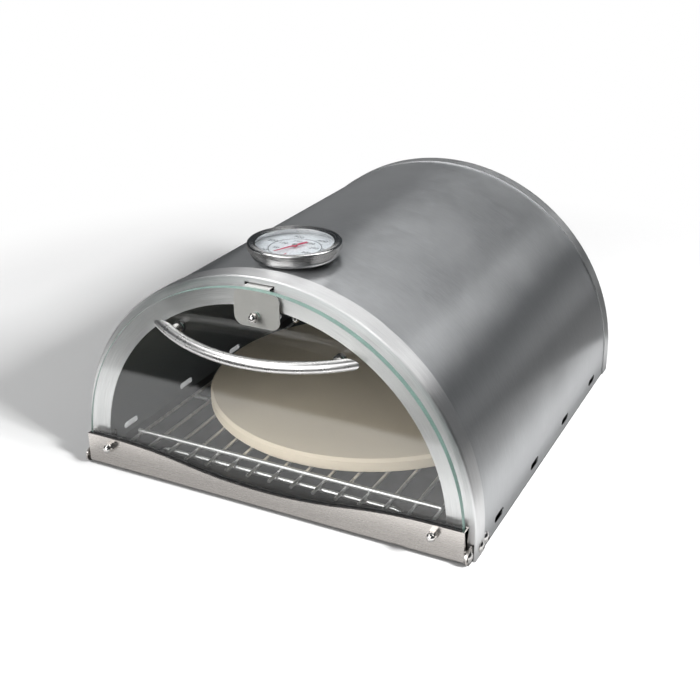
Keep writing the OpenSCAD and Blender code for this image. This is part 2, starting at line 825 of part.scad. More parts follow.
// Extrudes a section drawn as (depth, height) along X, over the full length given
module along_x(l) {
    translate([-l / 2, 0, 0]) rotate([90, 0, 90]) linear_extrude(l) children();
}

module door_rail() {
    inner_w = rail_w - 2 * sheet_t;
    color(steel) from_front() difference() {
        intersection() {
            translate([0, rail_front, rail_z]) difference() {
                along_x(2 * rail_half) rail_section(rail_w, rail_h, rail_fold);
                translate([0, sheet_t, sheet_t])
                    along_x(2 * (rail_half - sheet_t)) rail_section(inner_w, rail_h, rail_fold - sheet_t);
            }
            upright_plate(rail_front - cut, rail_w + 2 * cut)
                rail_outline(rail_half, rail_z - cut, rail_top);
        }
        for (side = [0, 1]) mirror([side, 0, 0]) translate([0, hinge_y, hinge_z])
            rod_x(rail_half - sheet_t - cut, sheet_t + 2 * cut, pin_d / 2 + pin_clear);
        at_rail_bolts(0) cylinder(h = 2 * rail_w, r = m5_d / 2 + hole_clear);
    }
}

module rail_gasket() {
    half = glass_r - ear_gap / 2;
    color(rubber) from_front() difference() {
        upright_plate(glass_front - gasket_t, glass_t + 2 * gasket_t)
            rail_outline(half, gasket_z, rail_top + gasket_lip);
        translate([-body_r, glass_front, glass_z]) cube([body_w, glass_t, rail_h]);
        at_rail_bolts(0) cylinder(h = 2 * rail_w, r = m5_d / 2 + hole_clear);
    }
}

module rail_bolts() {
    color(polished) from_front() at_rail_bolts(rail_back + lap_gap / 2) mirror([0, 0, 1])
        button_screw(m5_d, rail_w + lap_gap + cap_h * nut_thread, button_d, button_h);
}

module rail_cap_nuts() {
    color(polished) from_front() at_rail_bolts(rail_front - lap_gap / 2)
        cap_nut(nut_af, cap_h, m5_d / 2 + lap_gap / 2);
}

// The bow of the handle: a bar bent to one radius and cut off parallel to the glass
module handle_bow(r) {
    translate([0, post_y, grip_z]) rotate([grip_droop, 0, 0]) translate([0, bow_centre - post_y, 0])
        rotate([0, 0, 270 - bow_sweep / 2]) rotate_extrude(angle = bow_sweep, $fn = big_fn)
            translate([bow_r, 0]) circle(r);
}

module handle_bar() {
    color(polished) from_front() difference() {
        intersection() {
            handle_bow(grip_r);
            translate([-grip_l, glass_front - grip_cut - grip_l, 0]) cube([2 * grip_l, grip_l, 2 * grip_z]);
        }
        at_posts(0) cylinder(h = -post_y - grip_r + tap_depth + cut, r = m4_d / 2 + lap_gap / 2);
    }
}

module handle_posts() {
    color(polished) from_front() difference() {
        at_posts(glass_front - washer_t) cylinder(h = glass_front - washer_t - post_y, r = post_d / 2);
        handle_bow(grip_r + lap_gap / 2);
        at_posts(0) cylinder(h = 2 * grip_reach, r = m4_d / 2 + lap_gap / 2);
    }
}

module handle_screws() {
    color(polished) from_front() at_posts(glass_back + washer_t + lap_gap / 2) mirror([0, 0, 1])
        button_screw(m4_d, glass_back - post_y - grip_r + tap_depth + washer_t, m4_head_d, m4_head_h);
}

module handle_washers() {
    color(rubber) from_front() difference() {
        union() {
            at_posts(glass_front) cylinder(h = washer_t, r = washer_d / 2);
            at_posts(glass_back + washer_t) cylinder(h = washer_t, r = washer_d / 2);
        }
        at_posts(0) cylinder(h = 2 * rail_w, r = m4_d / 2 + hole_clear);
    }
}

module catch_plate() {
    plate_h = catch_drop - sheet_t;
    color(steel) from_front() difference() {
        union() {
            upright_plate(glass_back, sheet_t) translate([-catch_w / 2, glass_top - catch_drop])
                soft_rect(catch_w, plate_h, catch_r);
            upright_plate(glass_back, sheet_t)
                translate([-tongue_w / 2, glass_top - catch_drop / 2])
                    square([tongue_w, catch_drop / 2 + sheet_t]);
            translate([-tongue_w / 2, glass_back, tongue_z])
                cube([tongue_w, tongue_reach - glass_back, sheet_t]);
            translate([-tongue_w / 2, sheet_t + ridge_play + tongue_ridge, tongue_z]) rotate([0, 90, 0])
                cylinder(h = tongue_w, r = tongue_ridge);
        }
        translate([0, glass_back - cut, catch_z]) rod_y(0, sheet_t + 2 * cut, m4_d / 2 + hole_clear);
    }
}

module catch_bolt() {
    color(polished) from_front() translate([0, glass_back + sheet_t + lap_gap / 2, catch_z])
        rotate([-90, 0, 0])
            button_screw(m4_d, glass_t + sheet_t + lap_gap + catch_nut_h * nut_thread, m4_head_d, m4_head_h);
}

module catch_cap_nut() {
    color(polished) from_front() translate([0, glass_front - lap_gap / 2, catch_z]) rotate([90, 0, 0])
        cap_nut(catch_nut_af, catch_nut_h, m4_d / 2 + lap_gap / 2);
}

outer_shell();
front_frame();
rear_cap();
floor_tray();
wire_rack();
rack_feet();
pizza_stone();
hinge_bracket_left();
hinge_bracket_right();
bracket_screws();
bracket_nuts();
hinge_pin_left();
hinge_pin_right();
hinge_spacers();
thermometer_case();
thermometer_bezel();
dial_plate();
dial_lens();
dial_needle();
needle_spindle();
bimetal_coil();
thermometer_probe();
thermometer_nut();
thermometer_washer();
door_glass();
door_rail();
rail_gasket();
rail_bolts();
rail_cap_nuts();
handle_bar();
handle_posts();
handle_screws();
handle_washers();
catch_plate();
catch_bolt();
catch_cap_nut();
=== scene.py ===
"""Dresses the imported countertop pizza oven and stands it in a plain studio.

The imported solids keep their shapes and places. This file gives each of them its finish, prints the
thermometer's dial, and sets up a pale floor, soft light and a camera. Lengths are in metres, +Z is up and
the glass door faces -Y.
"""

import logging
import math
from dataclasses import dataclass
from enum import Enum
from functools import partial
from typing import Any, Optional, Tuple, Union

import bpy
import numpy as np
from mathutils import Matrix, Vector


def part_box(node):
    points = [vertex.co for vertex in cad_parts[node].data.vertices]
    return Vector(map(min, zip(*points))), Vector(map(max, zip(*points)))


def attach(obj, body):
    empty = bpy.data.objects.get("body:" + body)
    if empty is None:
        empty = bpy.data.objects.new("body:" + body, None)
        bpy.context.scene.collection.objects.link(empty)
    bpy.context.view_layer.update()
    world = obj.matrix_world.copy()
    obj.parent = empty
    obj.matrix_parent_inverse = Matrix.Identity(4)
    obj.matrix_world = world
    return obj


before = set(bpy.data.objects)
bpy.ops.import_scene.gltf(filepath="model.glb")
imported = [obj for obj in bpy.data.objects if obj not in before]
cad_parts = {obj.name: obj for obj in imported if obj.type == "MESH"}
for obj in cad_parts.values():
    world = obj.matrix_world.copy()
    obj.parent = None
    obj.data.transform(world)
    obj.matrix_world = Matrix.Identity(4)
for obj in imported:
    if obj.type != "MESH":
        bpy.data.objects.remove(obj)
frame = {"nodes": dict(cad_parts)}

LOG = logging.getLogger("pizza_oven")
MM = 0.001

Pair = Tuple[float, float]
Point = Tuple[float, float, float]
Colour = Tuple[float, float, float]
Material = bpy.types.Material
Socket = bpy.types.NodeSocket
Value = Union[float, Socket]
Arrow = Union[Point, Socket]


class Body(Enum):
    """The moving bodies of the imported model."""

    OVEN = "oven"
    DOOR = "door"
    NEEDLE = "needle"


class Lay(Enum):
    """The way a sheet or a bar was brushed."""

    ROUND_ARCH = "round the arch"
    ALONG_DOOR = "left to right"
    ROUND_DIAL = "turned about the dial's axis"


@dataclass(frozen=True)
class Vault:
    """The oven's arch, which its brushing and the inside of the shell follow.

    Attributes:
        axis_height: Height of the arch's axis over the counter.
        radius: Radius of the sheet's outer face.
        sheet: Thickness of the sheet.
    """

    axis_height: float = 20 * MM
    radius: float = 179 * MM
    sheet: float = 1.0 * MM


VAULT = Vault()
# The thermometer's upright axis, and the radius at which its turning marks are measured.
DIAL_AXIS_Y = -133 * MM
TURNING_RADIUS = 36 * MM
WHITE = (1.0, 1.0, 1.0)


def toned(colour: Colour, share: float) -> Colour:
    """Makes a colour lighter or darker.

    Args:
        colour: The colour.
        share: What each of its parts is multiplied by.

    Returns:
        The new colour, held at 1.
    """
    return tuple(min(1.0, part * share) for part in colour)


def grey(level: float) -> Colour:
    """Makes a grey.

    Args:
        level: How pale it is, 0 to 1.

    Returns:
        The colour.
    """
    return (level, level, level)


class Bench:
    """Joins shader nodes, for a finish or for the room's light."""

    def __init__(self, tree: bpy.types.NodeTree) -> None:
        """Clears a node tree to start on.

        Args:
            tree: The tree of a material or of the world.
        """
        self.tree = tree
        self.tree.nodes.clear()

    def add(self, kind: str, **settings: Any) -> bpy.types.Node:
        """Adds a node.

        Args:
            kind: Blender's name for the node's type.
            **settings: The node's own settings.

        Returns:
            The new node.
        """
        node = self.tree.nodes.new(kind)
        for key, value in settings.items():
            setattr(node, key, value)
        return node

    def feed(self, socket: Socket, value: Any) -> None:
        """Links a socket to another's output, or sets its value.

        Args:
            socket: The input to fill.
            value: A socket, a number, a vector or a colour.
        """
        if isinstance(value, Socket):
            self.tree.links.new(value, socket)
        elif socket.type == "RGBA":
            socket.default_value = (*value, 1.0)
        else:
            socket.default_value = value

    def sum(self, operation: str, a: Value, b: Value = 0.0) -> Socket:
        """Works out one number from one or two.

        Args:
            operation: The Math node's operation.
            a: First number.
            b: Second number.

        Returns:
            The result.
        """
        node = self.add("ShaderNodeMath", operation=operation)
        self.feed(node.inputs[0], a)
        self.feed(node.inputs[1], b)
        return node.outputs[0]

    def times(self, a: Value, b: Value) -> Socket:
        """Multiplies two numbers.

        Args:
            a: First number.
            b: Second number.

        Returns:
            Their product.
        """
        return self.sum("MULTIPLY", a, b)

    def distance(self, a: Value, b: Value) -> Socket:
        """Works out how far a point lies from the middle.

        Args:
            a: How far it lies one way.
            b: How far it lies the other way.

        Returns:
            The root of the sum of their squares.
        """
        return self.sum("SQRT", self.sum("ADD", self.times(a, a), self.times(b, b)))

    def arrow(self, operation: str, a: Arrow, b: Arrow = (0.0, 0.0, 0.0)) -> Socket:
        """Works out one vector from two.

        Args:
            operation: The Vector Math node's operation.
            a: First vector.
            b: Second vector.

        Returns:
            The resulting vector.
        """
        node = self.add("ShaderNodeVectorMath", operation=operation)
        self.feed(node.inputs[0], a)
        self.feed(node.inputs[1], b)
        return node.outputs["Vector"]

    def split(self, vector: Arrow) -> Tuple[Socket, Socket, Socket]:
        """Gives a vector's three parts.

        Args:
            vector: The vector.

        Returns:
            Its x, y and z.
        """
        node = self.add("ShaderNodeSeparateXYZ")
        self.feed(node.inputs[0], vector)
        return node.outputs[0], node.outputs[1], node.outputs[2]

    def gather(self, x: Value, y: Value, z: Value) -> Socket:
        """Makes a vector of three numbers.

        Args:
            x: Its first part.
            y: Its second part.
            z: Its third part.

        Returns:
            The vector.
        """
        node = self.add("ShaderNodeCombineXYZ")
        for socket, value in zip(node.inputs, (x, y, z)):
            self.feed(socket, value)
        return node.outputs[0]

    def noise(self, vector: Arrow, scale: float, detail: float = 2.0, grit: float = 0.5) -> Socket:
        """Makes cloudy noise between 0 and 1.

        Args:
            vector: Where the noise is read.
            scale: Grains in one unit of that vector.
            detail: Layers of finer noise.
            grit: Share that each finer layer keeps.

        Returns:
            The noise's value.
        """
        node = self.add("ShaderNodeTexNoise")
        self.feed(node.inputs["Vector"], vector)
        node.inputs["Scale"].default_value = scale
        node.inputs["Detail"].default_value = detail
        node.inputs["Roughness"].default_value = grit
        return node.outputs["Fac"]

    def pits(self, vector: Arrow, scale: float) -> Socket:
        """Works out how far the nearest of many scattered pores is.

        Args:
            vector: Where it is read.
            scale: Pores in one unit of that vector.

        Returns:
            The distance, 0 in a pore.
        """
        node = self.add("ShaderNodeTexVoronoi")
        self.feed(node.inputs["Vector"], vector)
        node.inputs["Scale"].default_value = scale
        return node.outputs["Distance"]

    def span(self, value: Value, low: float, high: float, start: float = 0.0, end: float = 1.0) -> Socket:
        """Carries a number from one range to another, held at the ends.

        Args:
            value: The number.
            low: Value that becomes start.
            high: Value that becomes end.
            start: First end of the new range.
            end: Second end of the new range.

        Returns:
            The number in the new range.
        """
        node = self.add("ShaderNodeMapRange", interpolation_type="SMOOTHSTEP")
        for socket, number in zip(node.inputs, (value, low, high, start, end)):
            self.feed(socket, number)
        return node.outputs[0]

    def shade(self, share: Value, low: Any, high: Any) -> Socket:
        """Mixes two colours.

        Args:
            share: 0 for the first colour and 1 for the second.
            low: First colour.
            high: Second colour.

        Returns:
            The mixed colour.
        """
        node = self.add("ShaderNodeMix", data_type="RGBA")
        self.feed(node.inputs[0], share)
        self.feed(node.inputs[6], low)
        self.feed(node.inputs[7], high)
        return node.outputs[2]

    def relief(
        self, height: Socket, depth: float, strength: float, under: Optional[Socket] = None
    ) -> Socket:
        """Makes a bump of the surface.

        Args:
            height: The pattern, 0 to 1.
            depth: How deep its full range is, in metres.
            strength: Share of the bump that shows.
            under: Another bump that this one lies on.

        Returns:
            The bent normal.
        """
        node = self.add("ShaderNodeBump")
        node.inputs["Strength"].default_value = strength
        node.inputs["Distance"].default_value = depth
        self.feed(node.inputs["Height"], height)
        if under is not None:
            self.feed(node.inputs["Normal"], under)
        return node.outputs[0]

    def surface(self, **sockets: Any) -> Socket:
        """Adds the main shader and sets its sockets by name.

        Args:
            **sockets: The sockets' values, with _ for a space in their names.

        Returns:
            The shader's output.
        """
        node = self.add("ShaderNodeBsdfPrincipled")
        for key, value in sockets.items():
            self.feed(node.inputs[key.replace("_", " ")], value)
        return node.outputs[0]

    def blend(self, share: Value, first: Socket, second: Socket) -> Socket:
        """Mixes two shaders.

        Args:
            share: 0 for the first shader and 1 for the second.
            first: First shader.
            second: Second shader.

        Returns:
            The mixed shader.
        """
        node = self.add("ShaderNodeMixShader")
        for socket, value in zip(node.inputs, (share, first, second)):
            self.feed(socket, value)
        return node.outputs[0]


class FinishBench(Bench):
    """Makes one material, node by node.

    Attributes:
        material: The material.
        output: Its last node.
        place: Where a point lies on its object.
        facing: Which way the surface faces there.
    """

    def __init__(self, name: str) -> None:
        """Starts an empty material.

        Args:
            name: The material's name.
        """
        self.material = bpy.data.materials.new(name)
        self.material.use_nodes = True
        super().__init__(self.material.node_tree)
        self.output = self.add("ShaderNodeOutputMaterial")
        own = self.add("ShaderNodeTexCoord")
        self.place, self.facing = own.outputs["Object"], own.outputs["Normal"]

    def clear_to_lamps(self, shader: Socket, tint: Colour) -> Socket:
        """Lets a lamp's light straight through a shader.

        Args:
            shader: The shader.
            tint: Share of the lamp's light that passes.

        Returns:
            The new shader.
        """
        through = self.add("ShaderNodeBsdfTransparent")
        self.feed(through.inputs[0], tint)
        shadow = self.add("ShaderNodeLightPath").outputs["Is Shadow Ray"]
        return self.blend(shadow, shader, through.outputs[0])

    def finish(self, shader: Socket) -> Material:
        """Joins the shader to the output.

        Args:
            shader: The finished shader.

        Returns:
            The material.
        """
        self.tree.links.new(shader, self.output.inputs["Surface"])
        return self.material

    def lay_of(self, lay: Lay) -> Tuple[Socket, Socket]:
        """Works out how the brushing lies.

        The first vector measures along the scratches, then across them two ways. The second points along
        them. Round the arch, the first measure is the arch's angle times its radius, and below the axis it
        runs on down the wall.

        Args:
            lay: The way the sheet was brushed.

        Returns:
            The measures in metres, and the direction.
        """
        x, y, z = self.split(self.place)
        if lay is Lay.ALONG_DOOR:
            return self.place, self.gather(1.0, 0.0, 0.0)
        if lay is Lay.ROUND_DIAL:
            out = self.sum("SUBTRACT", y, DIAL_AXIS_Y)
            along = self.times(self.sum("ARCTAN2", out, x), TURNING_RADIUS)
            measures = self.gather(along, self.distance(x, out), z)
            return measures, self.gather(self.times(out, -1.0), x, 0.0)
        rise = self.sum("SUBTRACT", z, VAULT.axis_height)
        over = self.sum("MAXIMUM", rise, 0.0)
        drop = self.sum("MAXIMUM", self.times(rise, -1.0), 0.0)
        round_arch = self.times(self.sum("ARCTAN2", x, over), VAULT.radius)
        measures = self.gather(self.sum("ADD", round_arch, drop), y, self.distance(x, over))
        return measures, self.gather(over, 0.0, self.times(x, -1.0))


@dataclass(frozen=True)
class BrushedSteel:
    """Stainless sheet with a brushed face.

    Attributes:
        name: The material's name.
        lay: The way it was brushed.
        tint: The steel's colour.
        smooth: Roughness where the brushing is finest.
        rough: Roughness where it is coarsest.
        stretch: How much the brushing draws a highlight out, 0 to 1.
        hair: Width of the scratches that show.
        hair_length: Their length.
        contrast: How much lighter or darker they are.
        depth: How deep they are.
        inside: True where the sheet's inner face is left darker and duller.
        across_back: True where the sheet's back is brushed from left to right.
        back_from: How squarely the back has to face the rear, 0 to 1.
        inner_tint: Colour of the inner face, darker than the outside.
        dulled: How much rougher it is.
        bare: Share of it that is still bare metal.
    """

    name: str
    lay: Lay = Lay.ROUND_ARCH
    tint: Colour = (0.56, 0.57, 0.58)
    smooth: float = 0.31
    rough: float = 0.37
    stretch: float = 0.8
    hair: float = 0.8 * MM
    hair_length: float = 9 * MM
    contrast: float = 0.07
    depth: float = 0.003 * MM
    inside: bool = False
    across_back: bool = False
    back_from: float = 0.7
    inner_tint: Colour = (0.26, 0.285, 0.29)
    dulled: float = 0.12
    bare: float = 0.45

    def make(self) -> Material:
        """Builds the material.

        Returns:
            The material.
        """
        b = FinishBench(self.name)
        measures, direction = b.lay_of(self.lay)
        if self.across_back:
            back = b.sum("GREATER_THAN", b.split(b.facing)[1], self.back_from)
            level_measures, level = b.lay_of(Lay.ALONG_DOOR)
            measures = b.shade(back, measures, level_measures)
            direction = b.shade(back, direction, level)
        along, across, third = b.split(measures)
        hairs = b.gather(
            b.sum("DIVIDE", along, self.hair_length),
            b.sum("DIVIDE", across, self.hair),
            b.sum("DIVIDE", third, self.hair),
        )
        strokes = b.noise(hairs, 1.0, 3.0, 0.6)
        fine = b.noise(b.arrow("MULTIPLY", hairs, (0.6, 3.1, 3.1)), 1.0)
        smudge = b.noise(b.place, 14.0, 3.0, 0.55)
        scratches = b.sum("ADD", b.times(strokes, 0.6), b.times(fine, 0.4))
        lines = b.span(scratches, 0.34, 0.66)
        colour = b.shade(lines, toned(self.tint, 1 - self.contrast), toned(self.tint, 1 + self.contrast))
        colour = b.shade(b.span(smudge, 0.35, 0.7, 0.0, 0.35), colour, toned(self.tint, 0.93))
        brushed = b.span(lines, 0.0, 1.0, self.smooth, self.rough)
        roughness = b.sum("ADD", brushed, b.span(smudge, 0.4, 0.7, 0.0, 0.03))
        metal: Value = 1.0
        if self.inside:
            # The inner face is darker and duller than the outside, and less of it is bare metal.
            within = b.span(third, VAULT.radius - VAULT.sheet, VAULT.radius - 0.6 * VAULT.sheet, 1.0, 0.0)
            colour = b.shade(within, colour, self.inner_tint)
            roughness = b.sum("ADD", roughness, b.times(within, self.dulled))
            metal = b.span(within, 0.0, 1.0, 1.0, self.bare)
        normal = b.add("ShaderNodeNewGeometry").outputs["Normal"]
        shader = b.surface(
            Base_Color=colour,
            Metallic=metal,
            Roughness=roughness,
            Anisotropic=self.stretch,
            Tangent=b.arrow("NORMALIZE", b.arrow("CROSS_PRODUCT", normal, direction)),
            Normal=b.relief(lines, self.depth, 0.6),
        )
        return b.finish(shader)


@dataclass(frozen=True)
class PolishedSteel:
    """Bright steel for bars, screws and nuts, with fine polishing marks and a little wear.

    Attributes:
        name: The material's name.
        tint: The metal's colour.
        smooth: Roughness where it is brightest.
        rough: Roughness where it is rubbed.
        marks: Width of the polishing marks.
        depth: How deep they are.
    """

    name: str
    tint: Colour = (0.74, 0.72, 0.70)
    smooth: float = 0.08
    rough: float = 0.2
    marks: float = 0.5 * MM
    depth: float = 0.004 * MM

    def make(self) -> Material:
        """Builds the material.

        Returns:
            The material.
        """
        b = FinishBench(self.name)
        grain = b.noise(b.arrow("MULTIPLY", b.place, (0.25, 1.0, 1.0)), 1 / self.marks, 3.0, 0.6)
        rubbed = b.noise(b.place, 90.0)
        wear = b.times(b.sum("ADD", grain, rubbed), 0.5)
        shader = b.surface(
            Base_Color=b.shade(b.span(rubbed, 0.35, 0.7), self.tint, toned(self.tint, 0.88)),
            Metallic=1.0,
            Roughness=b.span(wear, 0.35, 0.65, self.smooth, self.rough),
            Normal=b.relief(grain, self.depth, 0.5),
        )
        return b.finish(shader)


@dataclass(frozen=True)
class BakedSteel:
    """Dark heat-tinted steel for the oven's floor.

    Attributes:
        name: The material's name.
        tint: Its colour where it is clean.
        scorched: Its colour where it has been hottest.
    """

    name: str
    tint: Colour = (0.22, 0.225, 0.23)
    scorched: Colour = (0.13, 0.125, 0.12)

    def make(self) -> Material:
        """Builds the material.

        Returns:
            The material.
        """
        b = FinishBench(self.name)
        patches = b.noise(b.place, 9.0, 4.0, 0.6)
        streaks = b.noise(b.arrow("MULTIPLY", b.place, (1.0, 0.06, 1.0)), 900.0)
        roughness = b.sum("ADD", b.span(patches, 0.3, 0.7, 0.34, 0.48), b.times(streaks, 0.06))
        shader = b.surface(
            Base_Color=b.shade(b.span(patches, 0.35, 0.7), self.tint, self.scorched),
            Metallic=0.9,
            Roughness=roughness,
            Normal=b.relief(streaks, 0.01 * MM, 0.5),
        )
        return b.finish(shader)


@dataclass(frozen=True)
class FiredStone:
    """Cordierite, pressed and fired: pale, dry and gritty, with fine pores and a faint toast.

    Attributes:
        name: The material's name.
        pale: The stone's colour.
        sand: Colour of its darker grains.
        toast: Colour of the patches that have baked.
    """

    name: str
    pale: Colour = (0.86, 0.75, 0.59)
    sand: Colour = (0.72, 0.61, 0.48)
    toast: Colour = (0.80, 0.69, 0.55)

    def make(self) -> Material:
        """Builds the material.

        Returns:
            The material.
        """
        b = FinishBench(self.name)
        grit = b.noise(b.place, 1500.0, 3.0, 0.6)
        cloud = b.noise(b.place, 16.0, 4.0, 0.55)
        pores = b.pits(b.place, 420.0)
        colour = b.shade(b.span(cloud, 0.38, 0.72, 0.0, 0.55), self.pale, self.toast)
        colour = b.shade(b.span(grit, 0.52, 0.72, 0.0, 0.45), colour, self.sand)
        colour = b.shade(b.span(pores, 0.05, 0.16, 0.45, 0.0), colour, self.sand)
        bumpy = b.relief(b.span(pores, 0.04, 0.2), 0.12 * MM, 0.6)
        shader = b.surface(
            Base_Color=colour,
            Roughness=b.span(grit, 0.3, 0.7, 0.78, 0.95),
            Normal=b.relief(grit, 0.05 * MM, 0.7, bumpy),
        )
        return b.finish(shader)


@dataclass(frozen=True)
class ToughenedGlass:
    """Clear toughened pane with a ground edge, green where the pane is seen edge on.

    Attributes:
        name: The material's name.
        body: Tint of the clear face.
        edge: Colour of the ground edge.
        lamp_tint: Share of a lamp's light that passes through.
        face_from: How squarely the clear faces have to face the front or the back, 0 to 1.
    """

    name: str
    body: Colour = (0.985, 0.99, 0.985)
    edge: Colour = (0.33, 0.53, 0.465)
    lamp_tint: Colour = (0.91, 0.915, 0.905)
    face_from: float = 0.5

    def make(self) -> Material:
        """Builds the material.

        Returns:
            The material.
        """
        b = FinishBench(self.name)
        clear = b.surface(Base_Color=self.body, Roughness=0.0, IOR=1.5, Transmission_Weight=1.0)
        grind = b.noise(b.place, 2200.0)
        band = b.noise(b.place, 40.0)
        ground = b.surface(
            Base_Color=b.shade(b.span(band, 0.35, 0.7), self.edge, toned(self.edge, 1.2)),
            Roughness=b.span(grind, 0.3, 0.7, 0.25, 0.45),
            IOR=1.5,
            Transmission_Weight=0.35,
            Normal=b.relief(grind, 0.02 * MM, 0.5),
        )
        squarely = b.sum("ABSOLUTE", b.split(b.facing)[1])
        pane = b.blend(b.sum("LESS_THAN", squarely, self.face_from), clear, ground)
        return b.finish(b.clear_to_lamps(pane, self.lamp_tint))


@dataclass(frozen=True)
class LensGlass:
    """The thermometer's thin clear lens.

    Attributes:
        name: The material's name.
        body: Its tint.
        lamp_tint: Share of a lamp's light that passes through.
    """

    name: str
    body: Colour = (0.99, 0.995, 1.0)
    lamp_tint: Colour = (0.98, 0.985, 0.99)

    def make(self) -> Material:
        """Builds the material.

        Returns:
            The material.
        """
        b = FinishBench(self.name)
        dust = b.noise(b.place, 260.0, 3.0)
        clear = b.surface(
            Base_Color=self.body,
            Roughness=b.span(dust, 0.62, 0.85, 0.0, 0.02),
            IOR=1.48,
            Transmission_Weight=1.0,
        )
        return b.finish(b.clear_to_lamps(clear, self.lamp_tint))


@dataclass(frozen=True)
class SoftRubber:
    """Black silicone rubber with a dusty bloom.

    Attributes:
        name: The material's name.
        tint: Its colour.
        bloom: Colour of the dust on it.
    """

    name: str
    tint: Colour = (0.022, 0.022, 0.023)
    bloom: Colour = (0.06, 0.06, 0.062)

    def make(self) -> Material:
        """Builds the material.

        Returns:
            The material.
        """
        b = FinishBench(self.name)
        dust = b.noise(b.place, 240.0, 3.0)
        shader = b.surface(
            Base_Color=b.shade(b.span(dust, 0.45, 0.75), self.tint, self.bloom),
            Roughness=b.span(dust, 0.3, 0.7, 0.55, 0.75),
            Normal=b.relief(dust, 0.03 * MM, 0.5),
        )
        return b.finish(shader)


@dataclass(frozen=True)
class Enamel:
    """Baked paint or printed ink, on the dial or the needle.

    Attributes:
        name: The material's name.
        tint: The paint's colour.
        roughness: How rough it is.
    """

    name: str
    tint: Colour
    roughness: float

    def make(self) -> Material:
        """Builds the material.

        Returns:
            The material.
        """
        b = FinishBench(self.name)
        peel = b.noise(b.place, 700.0, 3.0)
        cloud = b.noise(b.place, 60.0)
        shader = b.surface(
            Base_Color=b.shade(b.span(cloud, 0.35, 0.7), self.tint, toned(self.tint, 0.95)),
            Roughness=b.span(peel, 0.3, 0.7, self.roughness - 0.05, self.roughness + 0.08),
            Normal=b.relief(peel, 0.01 * MM, 0.4),
        )
        return b.finish(shader)


@dataclass(frozen=True)
class Workshop:
    """Every finish on the oven, made once."""

    shell: Material
    frame: Material
    cap: Material
    rail: Material
    plate: Material
    turned: Material
    bright: Material
    satin: Material
    wire: Material
    baked: Material
    stone: Material
    pane: Material
    lens: Material
    rubber: Material
    dial: Material
    ink: Material
    red: Material
    brass: Material

    @classmethod
    def open(cls) -> "Workshop":
        """Makes the finishes.

        Returns:
            The set of materials.
        """
        lengthwise = partial(
            BrushedSteel,
            lay=Lay.ALONG_DOOR,
            hair=0.45 * MM,
            hair_length=25 * MM,
            contrast=0.03,
            depth=0.0015 * MM,
        )
        finishes = dict(
            shell=BrushedSteel("shell_sheet", inside=True),
            frame=BrushedSteel(
                "folded_frame",
                tint=grey(0.80),
                smooth=0.36,
                rough=0.46,
                stretch=0.9,
                hair=0.5 * MM,
                hair_length=22 * MM,
                contrast=0.1,
                depth=0.004 * MM,
            ),
            cap=BrushedSteel(
                "pressed_cap", tint=(0.62, 0.625, 0.63), smooth=0.32, rough=0.39, across_back=True
            ),
            rail=lengthwise("brushed_rail", tint=(0.73, 0.69, 0.655), smooth=0.22, rough=0.28, stretch=0.6),
            plate=lengthwise("brushed_plate", tint=(0.87, 0.86, 0.845), smooth=0.5, rough=0.58),
            turned=BrushedSteel(
                "turned_case",
                lay=Lay.ROUND_DIAL,
                tint=(0.70, 0.695, 0.69),
                smooth=0.18,
                rough=0.27,
                stretch=0.6,
                hair=0.3 * MM,
                hair_length=16 * MM,
            ),
            bright=PolishedSteel("polished_fittings"),
            satin=PolishedSteel("satin_bar", (0.80, 0.79, 0.78), smooth=0.26, rough=0.34, depth=0.0),
            wire=PolishedSteel("plated_wire", (0.80, 0.80, 0.79), smooth=0.26, rough=0.36, depth=0.0),
            baked=BakedSteel("baked_floor"),
            stone=FiredStone("fired_cordierite"),
            pane=ToughenedGlass("toughened_pane"),
            lens=LensGlass("dial_glass"),
            rubber=SoftRubber("silicone_rubber"),
            dial=Enamel("dial_enamel", (0.90, 0.945, 0.975), 0.3),
            ink=Enamel("dial_ink", (0.03, 0.033, 0.036), 0.5),
            red=Enamel("needle_enamel", (0.60, 0.012, 0.07), 0.3),
            brass=PolishedSteel("coil_strip", (0.72, 0.56, 0.30), smooth=0.2, rough=0.35),
        )
        return cls(**{use: finish.make() for use, finish in finishes.items()})


def dress(finish: Material, *nodes: str) -> None:
    """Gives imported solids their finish.

    Args:
        finish: The material.
        *nodes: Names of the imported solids.
    """
    for node in nodes:
        for slot in frame["nodes"][node].material_slots:
            slot.material = finish
        LOG.info("%s dressed in %s", node, finish.name)


def new_piece(
    name: str, points: np.ndarray, faces: np.ndarray, finish: Material, body: Body
) -> bpy.types.Object:
    """Makes a piece from whole arrays of points and four-sided faces.

    Args:
        name: The piece's name.
        points: One row of x, y and z for each point.
        faces: One row of four point numbers for each face.
        finish: Its material.
        body: The body it rides on.

    Returns:
        The piece, at the origin.
    """
    mesh = bpy.data.meshes.new(name)
    mesh.vertices.add(len(points))
    mesh.vertices.foreach_set("co", np.ascontiguousarray(points, np.float32).ravel())
    mesh.loops.add(faces.size)
    mesh.loops.foreach_set("vertex_index", np.ascontiguousarray(faces, np.int32).ravel())
    mesh.polygons.add(len(faces))
    mesh.polygons.foreach_set("loop_start", np.arange(0, faces.size, 4, dtype=np.int32))
    mesh.polygons.foreach_set("use_smooth", np.zeros(len(faces), bool))
    mesh.update(calc_edges=True)
    mesh.validate()
    mesh.materials.append(finish)
    piece = bpy.data.objects.new(name, mesh)
    bpy.context.scene.collection.objects.link(piece)
    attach(piece, body.value)
    LOG.info("%s built, %d faces, rides on %s", name, len(faces), body.value)
    return piece


